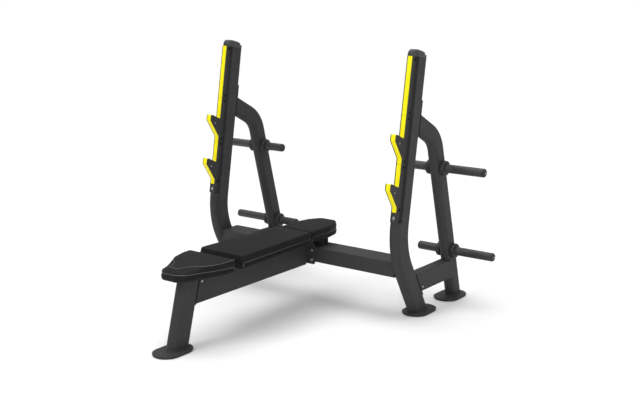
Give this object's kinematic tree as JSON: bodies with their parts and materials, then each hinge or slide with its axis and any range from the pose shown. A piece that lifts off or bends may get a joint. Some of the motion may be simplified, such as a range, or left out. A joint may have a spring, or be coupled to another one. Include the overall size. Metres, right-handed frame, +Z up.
{
  "type": "olympic bench press",
  "caption": "Flat press bench with a fixed two-upright bar rack, lined hooks at two heights and storage pegs for plates on the rear legs.",
  "frame": {"origin": "on the floor, midway between the uprights and midway between the front and rear ends of the feet", "axes": "+X to the right as seen from the seat end, +Y from the seat towards the head end, +Z up"},
  "size_m": [1.754, 1.732, 1.3586],
  "materials": {
    "frame_coat": "fine-texture charcoal powder coat",
    "pad_leather": "black grained leatherette, satin",
    "liner_yellow": "moulded wear strip, satin lemon yellow",
    "black_rubber": "matte black moulded rubber",
    "black_plastic": "satin black moulded plastic",
    "bright_steel": "bright zinc plated fasteners",
    "black_steel": "black oxide screws",
    "board_wood": "plywood backing board"
  },
  "bodies": {
    "root": {"back_board": "board_wood", "back_pad": "pad_leather", "bar_liner_bottom_left": "liner_yellow", "bar_liner_bottom_right": "liner_yellow", "bar_liner_middle_left": "liner_yellow", "bar_liner_middle_right": "liner_yellow", "bar_liner_top_left": "liner_yellow", "bar_liner_top_right": "liner_yellow", "brace_saddle_left": "frame_coat", "brace_saddle_right": "frame_coat", "catch_filler_left": "black_plastic", "catch_filler_right": "black_plastic", "catch_plate_inner_left": "frame_coat", "catch_plate_inner_right": "frame_coat", "catch_plate_outer_left": "frame_coat", "catch_plate_outer_right": "frame_coat", "catch_screws_left": "black_steel", "catch_screws_right": "black_steel", "catch_shelf_left": "frame_coat", "catch_shelf_right": "frame_coat", "crossbeam": "frame_coat", "filler_bolts": "bright_steel", "flange_bolts": "bright_steel", "foot_pads": "black_rubber", "front_foot_plate": "frame_coat", "front_leg": "frame_coat", "front_leg_plate": "frame_coat", "front_upright_left": "frame_coat", "front_upright_right": "frame_coat", "head_board": "board_wood", "head_bracket": "frame_coat", "head_pad": "pad_leather", "hook_pins": "bright_steel", "leg_saddle_left": "frame_coat", "leg_saddle_right": "frame_coat", "pad_bolts": "bright_steel", "pad_brackets": "frame_coat", "peg_collars_left": "black_rubber", "peg_collars_right": "black_rubber", "peg_end_caps": "black_rubber", "plate_peg_lower_left": "frame_coat", "plate_peg_lower_right": "frame_coat", "plate_peg_upper_left": "frame_coat", "plate_peg_upper_right": "frame_coat", "rear_foot_plate_left": "frame_coat", "rear_foot_plate_right": "frame_coat", "rear_leg_left": "frame_coat", "rear_leg_right": "frame_coat", "seat_board": "board_wood", "seat_pad": "pad_leather", "side_brace_left": "frame_coat", "side_brace_right": "frame_coat", "side_screws": "bright_steel", "spine_beam": "frame_coat", "spine_rear_flange": "frame_coat", "spine_saddle": "frame_coat", "upright_cap_left": "black_plastic", "upright_cap_right": "black_plastic", "upright_foot_plate_left": "frame_coat", "upright_foot_plate_right": "frame_coat"}
  },
  "joints": []
}
